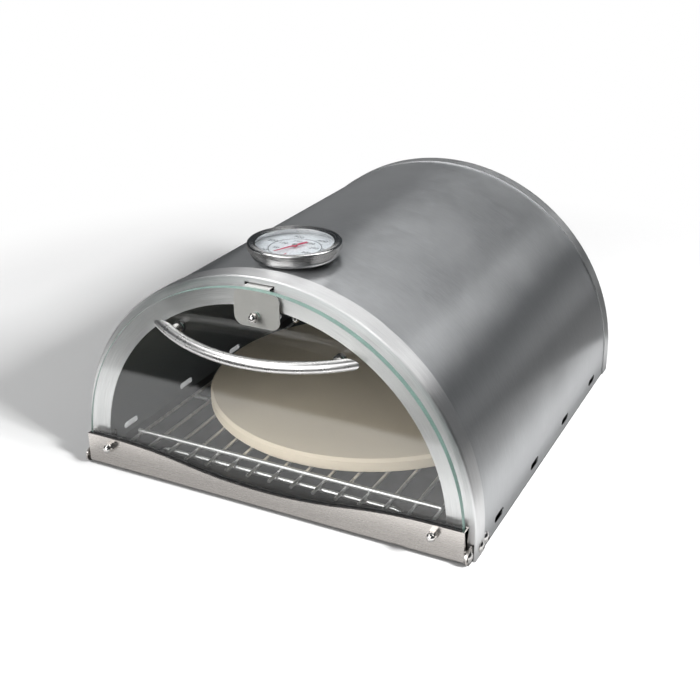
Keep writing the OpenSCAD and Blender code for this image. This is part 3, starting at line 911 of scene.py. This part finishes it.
def bar_faces(rings: int, sides: int) -> np.ndarray:
    """Numbers the faces of a closed bar, made of rings of points.

    Seen from the far end, each ring runs anticlockwise. The side joins each point to the next one and both
    to the ring beyond. Strips that join one half of an end's ring to the other close that end.

    Args:
        rings: Rings along the bar.
        sides: Points in a ring, an even number.

    Returns:
        One row of four point numbers for each face, which all point outward.
    """
    ring = np.arange(rings - 1)[:, None] * sides
    point = np.arange(sides)[None, :]
    after = (point + 1) % sides
    corners = (ring + point, ring + after, ring + sides + after, ring + sides + point)
    side = np.stack([corner.ravel() for corner in corners], 1)
    half = np.arange(sides // 2 - 1)
    end = np.stack([half, half + 1, sides - 2 - half, sides - 1 - half], 1)
    return np.concatenate([side, end[:, ::-1], end + (rings - 1) * sides])


@dataclass
class OvenBody:
    """The vault: outer sheet, folded front frame, rear cap and floor tray."""

    def dress(self, shop: Workshop) -> None:
        """Gives the sheets their finishes.

        Args:
            shop: The finishes.
        """
        dress(shop.shell, "outer_shell")
        dress(shop.frame, "front_frame")
        dress(shop.cap, "rear_cap")
        dress(shop.baked, "floor_tray")


@dataclass
class Hearth:
    """The wire rack on its feet, and the stone."""

    def dress(self, shop: Workshop) -> None:
        """Gives the rack, its feet and the stone their finishes.

        Args:
            shop: The finishes.
        """
        dress(shop.wire, "wire_rack", "rack_feet")
        dress(shop.stone, "pizza_stone")


@dataclass
class Hinges:
    """The brackets at the oven's front corners, with their screws, nuts, pins and spacers."""

    def dress(self, shop: Workshop) -> None:
        """Gives the hinge parts their finishes.

        Args:
            shop: The finishes.
        """
        dress(shop.rail, "hinge_bracket_left", "hinge_bracket_right")
        dress(shop.bright, "bracket_screws", "bracket_nuts", "hinge_spacers")
        dress(shop.bright, "hinge_pin_left", "hinge_pin_right")


@dataclass
class GlassDoor:
    """The pane in its folded rail, with the handle and the catch."""

    def dress(self, shop: Workshop) -> None:
        """Gives the door's parts their finishes.

        Args:
            shop: The finishes.
        """
        dress(shop.pane, "door_glass")
        dress(shop.rail, "door_rail")
        dress(shop.plate, "catch_plate")
        dress(shop.rubber, "rail_gasket", "handle_washers")
        dress(shop.bright, "rail_bolts", "rail_cap_nuts", "handle_posts", "handle_screws")
        dress(shop.bright, "catch_bolt", "catch_cap_nut")
        dress(shop.satin, "handle_bar")


@dataclass(frozen=True)
class NumberRing:
    """A ring of numbers on the dial.

    Attributes:
        name: The ring's name.
        step: Its first number, and how much each is above the one before.
        first: Where that one stands, in degrees clockwise from the scale's start.
        apart: Degrees from each to the next.
        radius: How far their middles are from the dial's.
        height: The figures' height.
        count: How many there are.
    """

    name: str
    step: int
    first: float
    apart: float
    radius: float
    height: float
    count: int = 6


NUMBER_RINGS = (
    NumberRing("outer", 100, 31.0, 51.0, 25.6 * MM, 4.4 * MM),
    NumberRing("inner", 50, 42.0, 46.0, 15.0 * MM, 3.9 * MM),
)


@dataclass
class Thermometer:
    """The dial thermometer on the vault, and what is printed on its dial.

    Attributes:
        arc_radius: Radius of the scale's line.
        line: Width of that line.
        line_rings: Points along it.
        start: Where the scale starts, in degrees clockwise from the rear of the dial.
        sweep: Degrees that the scale runs over.
        steps: Gaps between its marks.
        every: A long mark stands at every so many.
        mark_lengths: Length of a long and of a short mark.
        mark_widths: Their widths.
        stop_turn: Where the red stop mark stands, in the same degrees.
        stop_ends: Its inner and outer radius.
        stop_width: Its width.
        film: Thickness of the ink.
        type_size: Size of the lettering for figures 1 high.
        type_steps: Points along each curve of a figure.
        cap_radius: Radius of the disc on the needle's hub.
        cap_height: Its thickness.
        cap_sides: How many sides it has.
    """

    arc_radius: float = 20.9 * MM
    line: float = 0.55 * MM
    line_rings: int = 181
    start: float = 205.0
    sweep: float = 300.0
    steps: int = 60
    every: int = 5
    mark_lengths: Pair = (1.9 * MM, 1.0 * MM)
    mark_widths: Pair = (0.42 * MM, 0.24 * MM)
    stop_turn: float = 180.0
    stop_ends: Pair = (14.0 * MM, 17.5 * MM)
    stop_width: float = 0.9 * MM
    film: float = 0.05 * MM
    type_size: float = 1.35
    type_steps: int = 3
    cap_radius: float = 1.9 * MM
    cap_height: float = 0.3 * MM
    cap_sides: int = 48

    def dress(self, shop: Workshop) -> None:
        """Gives the thermometer's parts their finishes.

        Args:
            shop: The finishes.
        """
        dress(shop.turned, "thermometer_case", "thermometer_bezel")
        dress(shop.dial, "dial_plate")
        dress(shop.lens, "dial_lens")
        dress(shop.red, "dial_needle")
        dress(shop.brass, "bimetal_coil")
        dress(shop.bright, "needle_spindle", "thermometer_probe", "thermometer_nut", "thermometer_washer")

    def seat(self) -> Vector:
        """Finds the middle of the dial's printed face.

        Returns:
            Its place.
        """
        low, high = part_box("dial_plate")
        return Vector(((low.x + high.x) / 2, (low.y + high.y) / 2, high.z))

    def bars(self, turn: Any, inner: Any, outer: Any, width: Any) -> Tuple[np.ndarray, np.ndarray]:
        """Works out thin printed bars that point at the dial's middle.

        Each bar's corners are its two radii along its own direction, moved half its width either way across
        it, once at the dial's face and once a film's thickness above. A plain number holds for every bar.

        Args:
            turn: Degrees clockwise from the rear of each bar.
            inner: Inner radius of each bar.
            outer: Outer radius of each bar.
            width: Width of each bar.

        Returns:
            The points and the faces.
        """
        turn, inner, outer, width = np.broadcast_arrays(np.atleast_1d(turn), inner, outer, width)
        angle = np.radians(turn)
        along = np.stack([np.sin(angle), np.cos(angle)], 1)
        across = np.stack([np.cos(angle), -np.sin(angle)], 1)
        radius = np.stack([inner, outer, outer, inner], 1)[:, :, None]
        side = np.array([0.5, 0.5, -0.5, -0.5])[None, :, None] * width[:, None, None]
        flat = along[:, None, :] * radius + across[:, None, :] * side
        levels = [np.pad(flat, ((0, 0), (0, 0), (0, 1)), constant_values=rise) for rise in (0.0, self.film)]
        corners = np.concatenate(levels, 1)
        first = np.arange(len(turn))[:, None, None] * corners.shape[1]
        faces = first + bar_faces(len(levels), flat.shape[1])
        return corners.reshape(-1, 3) + np.array(self.seat()), faces.reshape(-1, 4)

    def scale_marks(self, shop: Workshop) -> None:
        """Prints the scale's marks, long ones among the short.

        Args:
            shop: The finishes.
        """
        count = np.arange(self.steps + 1)
        turn = self.start + self.sweep * count / self.steps
        long = count % self.every == 0
        outer = self.arc_radius + np.where(long, *self.mark_lengths)
        points, faces = self.bars(turn, self.arc_radius, outer, np.where(long, *self.mark_widths))
        new_piece("dial_marks", points, faces, shop.ink, Body.OVEN)

    def scale_line(self, shop: Workshop) -> None:
        """Prints the scale's line.

        It is a flat bar, whose section's corners are carried round the dial's middle from the first mark to
        the last.

        Args:
            shop: The finishes.
        """
        turn = np.radians(self.start + self.sweep * np.linspace(0, 1, self.line_rings))
        half = self.line / 2
        section = np.array([[-half, 0.0], [half, 0.0], [half, self.film], [-half, self.film]])
        radius, rise = self.arc_radius + section[:, 0], np.tile(section[:, 1], (len(turn), 1))
        corners = np.stack([np.outer(np.sin(turn), radius), np.outer(np.cos(turn), radius), rise], 2)
        points = corners.reshape(-1, 3) + np.array(self.seat())
        faces = bar_faces(len(turn), len(section))
        new_piece("dial_line", points, faces, shop.ink, Body.OVEN)

    def stop_mark(self, shop: Workshop) -> None:
        """Prints the red mark in the scale's gap.

        Args:
            shop: The finishes.
        """
        points, faces = self.bars(self.stop_turn, *self.stop_ends, self.stop_width)
        new_piece("dial_stop_mark", points, faces, shop.red, Body.OVEN)

    def number(self, ring: NumberRing, index: int, shop: Workshop) -> None:
        """Prints one number, upright as read from the door.

        Args:
            ring: The ring that it is in.
            index: Its place in that ring, where the first is 0.
            shop: The finishes.
        """
        word = str(ring.step * (index + 1))
        name = f"dial_{ring.name}_{word}"
        curve = bpy.data.curves.new(name, "FONT")
        curve.body, curve.size = word, ring.height * self.type_size
        curve.align_x, curve.align_y = "CENTER", "CENTER"
        curve.extrude, curve.resolution_u = self.film / 2, self.type_steps
        text = bpy.data.objects.new(name + "_type", curve)
        bpy.context.scene.collection.objects.link(text)
        bpy.context.view_layer.update()
        mesh = bpy.data.meshes.new_from_object(text.evaluated_get(bpy.context.evaluated_depsgraph_get()))
        bpy.data.curves.remove(curve)
        angle = math.radians(self.start + ring.first + ring.apart * index)
        place = Vector((math.sin(angle) * ring.radius, math.cos(angle) * ring.radius, self.film / 2))
        mesh.transform(Matrix.Translation(self.seat() + place))
        mesh.materials.clear()
        mesh.materials.append(shop.ink)
        mesh.name = name
        piece = bpy.data.objects.new(name, mesh)
        bpy.context.scene.collection.objects.link(piece)
        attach(piece, Body.OVEN.value)
        LOG.info("%s printed", name)

    def print_dial(self, shop: Workshop) -> None:
        """Prints the whole dial.

        Args:
            shop: The finishes.
        """
        self.scale_line(shop)
        self.scale_marks(shop)
        for ring in NUMBER_RINGS:
            for index in range(ring.count):
                self.number(ring, index, shop)
        self.stop_mark(shop)

    def hub_cap(self, shop: Workshop) -> None:
        """Caps the needle's hub with a small steel disc.

        Its points are two rings about the dial's axis, one above the other.

        Args:
            shop: The finishes.
        """
        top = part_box("dial_needle")[1].z
        turn = np.linspace(0, 2 * np.pi, self.cap_sides, endpoint=False)
        ring = np.stack([np.cos(turn), np.sin(turn)], 1) * self.cap_radius + np.array(self.seat())[:2]
        low = np.column_stack([ring, np.full(len(ring), top)])
        points = np.concatenate([low, low + (0.0, 0.0, self.cap_height)])
        cap = new_piece("needle_hub_cap", points, bar_faces(2, len(ring)), shop.turned, Body.NEEDLE)


@dataclass(frozen=True)
class SoftBox:
    """A rectangular lamp with an even face.

    Attributes:
        name: The lamp's name.
        place: The middle of its face.
        faces: The way it shines.
        size: Its width and height.
        level: How bright its face is, where 1 is white.
    """

    name: str
    place: Point
    faces: Point
    size: Pair
    level: float


DOWN = (0.0, 0.0, -1.0)
TO_REAR = (0.0, 1.0, 0.0)
TO_FRONT = (0.0, -1.0, 0.0)
TO_RIGHT = (1.0, 0.0, 0.0)

SOFT_BOXES = (
    SoftBox("overhead_strip", (0.75, 0.30, 1.2), DOWN, (2.1, 0.5), 3.7),
    SoftBox("overhead_corner", (1.35, 0.825, 1.2), DOWN, (0.9, 0.55), 2.3),
    SoftBox("left_strip", (-0.6, -0.875, 1.2), DOWN, (0.6, 1.85), 2.5),
    SoftBox("front_overhead", (0.3, -1.4, 1.2), DOWN, (1.2, 0.8), 2.2),
    SoftBox("front_panel", (0.0, -1.8, 0.6), TO_REAR, (1.2, 1.2), 2.2),
    SoftBox("front_left_panel", (-1.2, -1.8, 0.85), TO_REAR, (1.2, 0.7), 2.7),
    SoftBox("left_low_panel", (-1.8, -1.2, 0.125), TO_RIGHT, (1.2, 0.25), 1.8),
    SoftBox("rear_left_panel", (-1.2, 1.8, 0.375), TO_FRONT, (1.2, 0.25), 0.85),
    SoftBox("rear_right_panel", (1.2, 1.8, 0.125), TO_FRONT, (1.2, 0.25), 0.65),
)
SHADOW_BOX = SoftBox("floor_shadow_box", (1.82, -0.58, 1.20), (-0.81, 0.26, -0.53), (0.36, 0.36), 400.0)


@dataclass
class Studio:
    """The pale floor, the soft light and the camera.

    Attributes:
        place: Where the camera stands.
        turn: Degrees it is turned left of straight ahead.
        tip: Degrees it looks down.
        roll: Degrees it leans.
        lens: Its lens, in millimetres.
        clip: Nearest and farthest thing it sees.
        reach: How far the floor runs each way.
        haze: How far from the middle the camera sees it start to glow, and glow white.
        sheet: The white sheet's left, right, near and far edges.
        edge: How far the sheet fades on either side of an edge.
        near_edge: How far it fades on either side of its near edge.
        front: Where the painted pool of light on the floor before the door starts to fade, and ends.
        shade: Where the shade under the oven and its door's rail starts, and is full.
        shade_side: How far to either side that shade starts to fade, and ends.
        floor_white: How white the floor is to the camera.
        paper_white: How white it is to what it lights.
        sheet_white: How white the sheet is to the metal and the glass.
        front_white: How white it is to them in front of the door, a painted pool of light.
        shade_grey: How pale it is to them in that shade.
        far_grey: How pale the floor is to them behind the sheet's near edge.
        near_grey: How pale it is in front of that edge.
        dim: The room's light between the lamps.
    """

    place: Point = (0.409527, -0.843730, 0.494689)
    turn: float = 26.984
    tip: float = 24.730
    roll: float = -0.498
    lens: float = 56.774
    clip: Pair = (0.01, 60.0)
    reach: float = 3.0
    haze: Pair = (0.45, 0.75)
    sheet: Tuple[float, float, float, float] = (-0.40, 0.30, -0.357, 0.27)
    edge: float = 12 * MM
    near_edge: float = 3 * MM
    front: Pair = (-0.26, -0.20)
    shade: Pair = (-0.258, -0.222)
    shade_side: Pair = (0.185, 0.205)
    floor_white: float = 0.42
    paper_white: float = 0.267
    sheet_white: float = 0.335
    front_white: float = 0.48
    shade_grey: float = 0.18
    far_grey: float = 0.083
    near_grey: float = 0.017
    dim: Colour = (0.034, 0.038, 0.042)

    def camera(self) -> None:
        """Stands the camera and makes it the scene's."""
        yaw, pitch, roll = (math.radians(angle) for angle in (self.turn, self.tip, self.roll))
        level = Vector((math.cos(yaw), math.sin(yaw), 0.0))
        forward = Vector((-math.sin(yaw), math.cos(yaw), 0.0))
        ahead = forward * math.cos(pitch) - Vector((0.0, 0.0, math.sin(pitch)))
        upright = level.cross(ahead)
        right = level * math.cos(roll) + upright * math.sin(roll)
        up = upright * math.cos(roll) - level * math.sin(roll)
        data = bpy.data.cameras.new("studio_camera")
        data.lens = self.lens
        data.clip_start, data.clip_end = self.clip
        camera = bpy.data.objects.new("studio_camera", data)
        facing = Matrix((right, up, -ahead)).transposed()
        camera.matrix_world = Matrix.Translation(self.place) @ facing.to_4x4()
        bpy.context.scene.collection.objects.link(camera)
        bpy.context.scene.camera = camera

    def lamp(self, box: SoftBox, only_for: Optional[bpy.types.Object] = None) -> None:
        """Hangs a soft box.

        Args:
            box: The soft box.
            only_for: The one thing that it lights, or None for everything.
        """
        data = bpy.data.lights.new(box.name, "AREA")
        data.shape, (data.size, data.size_y) = "RECTANGLE", box.size
        data.energy = math.pi * box.size[0] * box.size[1] * box.level
        lamp = bpy.data.objects.new(box.name, data)
        aim = Vector(box.faces).to_track_quat("-Z", "Y")
        lamp.matrix_world = Matrix.Translation(box.place) @ aim.to_matrix().to_4x4()
        lamp.visible_camera = False
        bpy.context.scene.collection.objects.link(lamp)
        if only_for is not None:
            lit = bpy.data.collections.new(box.name + "_lights")
            lit.objects.link(only_for)
            lamp.light_linking.receiver_collection = lit

    def seen(self, b: Bench) -> Socket:
        """Tells what is looked at from what lights something.

        Args:
            b: The bench to work on.

        Returns:
            1 for a ray straight from the camera or through glass, and 0 for any other.
        """
        path = b.add("ShaderNodeLightPath")
        bounces = b.sum("ADD", path.outputs["Diffuse Depth"], path.outputs["Glossy Depth"])
        straight = b.sum("MAXIMUM", path.outputs["Is Camera Ray"], path.outputs["Is Transmission Ray"])
        return b.times(b.sum("LESS_THAN", bounces, 0.5), straight)

    def room(self) -> None:
        """Makes the room: dim between the lamps, and white to the camera."""
        world = bpy.data.worlds.new("studio_room")
        bpy.context.scene.world = world
        world.use_nodes = True
        b = Bench(world.node_tree)
        out = b.add("ShaderNodeOutputWorld")
        soft, white = b.add("ShaderNodeBackground"), b.add("ShaderNodeBackground")
        b.feed(soft.inputs[0], self.dim)
        b.feed(white.inputs[0], WHITE)
        b.feed(out.inputs[0], b.blend(self.seen(b), soft.outputs[0], white.outputs[0]))

    def floor_colour(self, b: FinishBench, seen: Socket) -> Socket:
        """Works out the floor's colour.

        It is one white to the camera and another to what the floor lights. To metal and glass it is a sheet,
        with a painted pool of light in front of the door and painted shade under the oven, on a darker
        floor.

        Args:
            b: The bench to work on.
            seen: 1 where the floor is looked at.

        Returns:
            The colour.
        """
        x, y, _ = b.split(b.place)
        left, right, near, far = self.sheet
        behind = b.span(y, near - self.near_edge, near + self.near_edge)
        before = b.span(y, far - self.edge, far + self.edge, 1.0, 0.0)
        from_left = b.span(x, left - self.edge, left + self.edge)
        from_right = b.span(x, right - self.edge, right + self.edge, 1.0, 0.0)
        inside = b.times(b.times(from_left, from_right), b.times(behind, before))
        # Only metal and glass see these: a painted pool of light before the door and painted shade under the
        # oven.
        sheet = b.shade(b.span(y, *self.front), grey(self.front_white), grey(self.sheet_white))
        beneath = b.times(b.span(y, *self.shade), b.span(b.sum("ABSOLUTE", x), *self.shade_side, 1.0, 0.0))
        sheet = b.shade(beneath, sheet, grey(self.shade_grey))
        beyond = b.shade(behind, grey(self.near_grey), grey(self.far_grey))
        mirrored = b.shade(inside, beyond, sheet)
        glossy = b.add("ShaderNodeLightPath").outputs["Is Glossy Ray"]
        colour = b.shade(glossy, grey(self.paper_white), mirrored)
        return b.shade(seen, colour, grey(self.floor_white))

    def floor(self) -> bpy.types.Object:
        """Lays the floor.

        Returns:
            The floor.
        """
        b = FinishBench("studio_floor")
        x, y, _ = b.split(b.place)
        seen = self.seen(b)
        paper = b.add("ShaderNodeBsdfDiffuse")
        b.feed(paper.inputs[0], self.floor_colour(b, seen))
        glow = b.add("ShaderNodeEmission")
        b.feed(glow.inputs[0], WHITE)
        haze = b.times(seen, b.span(b.distance(x, y), *self.haze))
        mesh = bpy.data.meshes.new("studio_floor")
        reach = self.reach
        corners = [(-reach, -reach, 0), (reach, -reach, 0), (reach, reach, 0), (-reach, reach, 0)]
        mesh.from_pydata(corners, [], [(0, 1, 2, 3)])
        mesh.materials.append(b.finish(b.blend(haze, paper.outputs[0], glow.outputs[0])))
        floor = bpy.data.objects.new("studio_floor", mesh)
        bpy.context.scene.collection.objects.link(floor)
        return floor

    def build(self) -> None:
        """Sets up the whole studio."""
        self.camera()
        self.room()
        floor = self.floor()
        for box in SOFT_BOXES:
            self.lamp(box)
        self.lamp(SHADOW_BOX, floor)
        bpy.context.scene.view_settings.view_transform = "Standard"


def main() -> None:
    """Dresses the oven, prints its dial and sets up the studio, in order."""
    logging.basicConfig(level=logging.INFO, format="%(message)s")
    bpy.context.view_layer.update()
    shop = Workshop.open()
    for part in (OvenBody(), Hearth(), Hinges(), GlassDoor()):
        part.dress(shop)
    thermometer = Thermometer()
    thermometer.dress(shop)
    thermometer.print_dial(shop)
    thermometer.hub_cap(shop)
    Studio().build()


if __name__ == "__main__":
    main()
